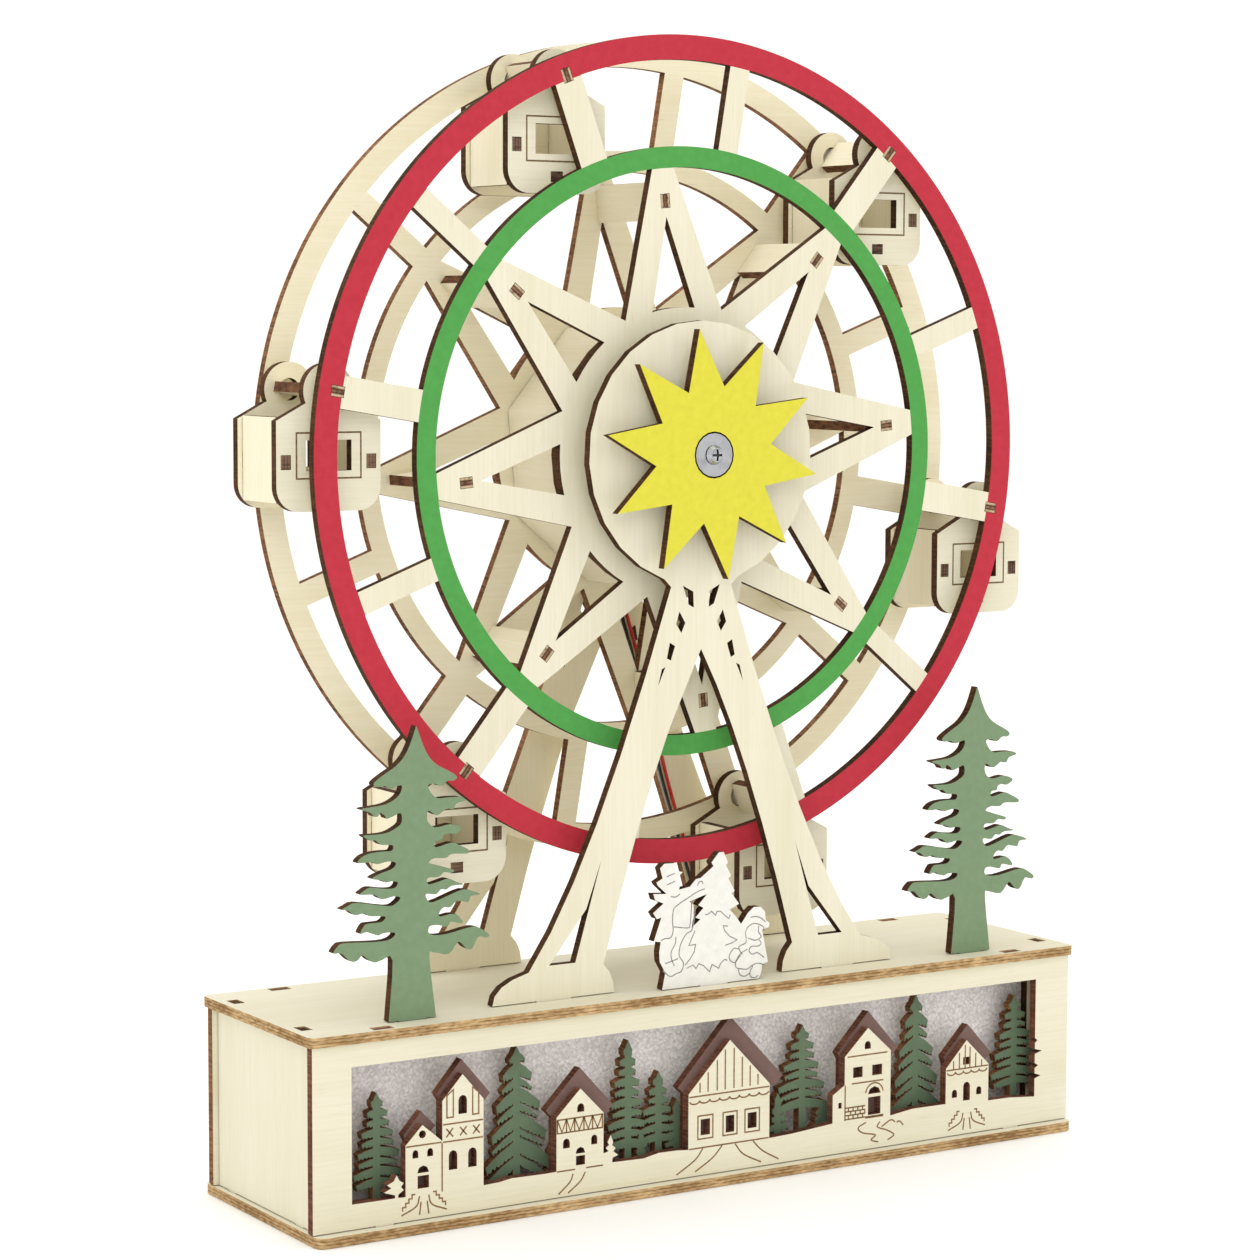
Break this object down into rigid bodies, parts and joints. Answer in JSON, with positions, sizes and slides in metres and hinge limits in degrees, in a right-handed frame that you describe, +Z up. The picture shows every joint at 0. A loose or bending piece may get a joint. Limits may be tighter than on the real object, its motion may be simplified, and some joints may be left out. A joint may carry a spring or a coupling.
{
  "type": "ferris wheel decoration",
  "caption": "Plywood ferris wheel with hanging cabins on a box base with a village-scene window, turned by a small gear motor",
  "frame": {"origin": "middle of the base's underside, on the surface it stands on", "axes": "+X along the base to the right seen from the front, -Y out of the front, +Z up"},
  "size_m": [0.2744, 0.0754, 0.345],
  "materials": {
    "birch_plywood": "pale laser-cut birch plywood, unvarnished, with browned cut edges",
    "yellow_paint": "thin matt yellow paint on plywood",
    "sage_paint": "thin matt sage green paint on plywood",
    "white_paint": "matt white paint on plywood",
    "fir_green_paint": "thin matt dark green paint on plywood",
    "brown_paint": "thin matt red-brown paint on plywood",
    "sky_paper": "grey sheet with fine glitter",
    "plated_steel": "nickel-plated steel",
    "black_plastic": "black moulded plastic",
    "cell_jacket": "plain shrink jacket",
    "black_insulation": "black wire insulation",
    "red_insulation": "red wire insulation"
  },
  "bodies": {
    "root": {"base_bottom_panel": "birch_plywood", "base_top_panel": "birch_plywood", "base_front_panel": "birch_plywood", "base_back_panel": "birch_plywood", "base_end_left": "birch_plywood", "base_end_right": "birch_plywood", "village_roof_layer": "brown_paint", "village_tree_layer": "fir_green_paint", "sky_sheet": "sky_paper", "sky_spacer_frame": "birch_plywood", "front_support": "birch_plywood", "rear_support": "birch_plywood", "star_ornament": "yellow_paint", "star_spacer": "birch_plywood", "fir_tree_left": "sage_paint", "fir_tree_right": "sage_paint", "snowman_scene": "white_paint", "gear_motor": "plated_steel", "motor_screw_right": "plated_steel", "motor_screw_left": "plated_steel", "battery_hatch": "birch_plywood", "battery_holder": "black_plastic", "battery_cell_1": "cell_jacket", "battery_cell_2": "cell_jacket", "power_switch_body": "plated_steel", "wire_black": "black_insulation", "wire_red": "red_insulation", "switch_lead": "red_insulation"},
    "wheel": {"wheel_front_plate": "birch_plywood", "wheel_rear_plate": "birch_plywood", "front_hub_disc": "birch_plywood", "rear_hub_disc": "birch_plywood", "hub_drum": "birch_plywood", "front_axle": "birch_plywood", "axle_washer": "plated_steel", "axle_screw": "plated_steel", "hub_block": "birch_plywood", "motor_shaft": "plated_steel"},
    "cabin_1": {"cabin_1_front_plate": "birch_plywood", "cabin_1_rear_plate": "birch_plywood", "cabin_1_box": "birch_plywood"},
    "cabin_2": {"cabin_2_front_plate": "birch_plywood", "cabin_2_rear_plate": "birch_plywood", "cabin_2_box": "birch_plywood"},
    "cabin_3": {"cabin_3_front_plate": "birch_plywood", "cabin_3_rear_plate": "birch_plywood", "cabin_3_box": "birch_plywood"},
    "cabin_4": {"cabin_4_front_plate": "birch_plywood", "cabin_4_rear_plate": "birch_plywood", "cabin_4_box": "birch_plywood"},
    "cabin_5": {"cabin_5_front_plate": "birch_plywood", "cabin_5_rear_plate": "birch_plywood", "cabin_5_box": "birch_plywood"},
    "cabin_6": {"cabin_6_front_plate": "birch_plywood", "cabin_6_rear_plate": "birch_plywood", "cabin_6_box": "birch_plywood"},
    "switch_knob": {"power_switch_knob": "black_plastic"}
  },
  "joints": [
    {"name": "wheel_spin", "type": "hinge", "parent": "root", "child": "wheel", "pos_m": [0, 0, 0.2203], "axis": [0, 1, 0], "continuous": true},
    {"name": "cabin_1_swing", "type": "hinge", "parent": "wheel", "child": "cabin_1", "pos_m": [0.07544, 0.005, 0.31182], "axis": [0, 1, 0], "continuous": true},
    {"name": "cabin_2_swing", "type": "hinge", "parent": "wheel", "child": "cabin_2", "pos_m": [-0.04154, 0.005, 0.33139], "axis": [0, 1, 0], "continuous": true},
    {"name": "cabin_3_swing", "type": "hinge", "parent": "wheel", "child": "cabin_3", "pos_m": [-0.11697, 0.005, 0.23988], "axis": [0, 1, 0], "continuous": true},
    {"name": "cabin_4_swing", "type": "hinge", "parent": "wheel", "child": "cabin_4", "pos_m": [-0.07544, 0.005, 0.12879], "axis": [0, 1, 0], "continuous": true},
    {"name": "cabin_5_swing", "type": "hinge", "parent": "wheel", "child": "cabin_5", "pos_m": [0.04154, 0.005, 0.10921], "axis": [0, 1, 0], "continuous": true},
    {"name": "cabin_6_swing", "type": "hinge", "parent": "wheel", "child": "cabin_6", "pos_m": [0.11697, 0.005, 0.20072], "axis": [0, 1, 0], "continuous": true},
    {"name": "switch_slide", "type": "slide", "parent": "root", "child": "switch_knob", "axis": [1, 0, 0], "range_m": [0, 0.003]}
  ],
  "couplings": [
    {"joint": "cabin_1_swing", "follows": "wheel_spin", "ratio": -1},
    {"joint": "cabin_2_swing", "follows": "wheel_spin", "ratio": -1},
    {"joint": "cabin_3_swing", "follows": "wheel_spin", "ratio": -1},
    {"joint": "cabin_4_swing", "follows": "wheel_spin", "ratio": -1},
    {"joint": "cabin_5_swing", "follows": "wheel_spin", "ratio": -1},
    {"joint": "cabin_6_swing", "follows": "wheel_spin", "ratio": -1}
  ]
}
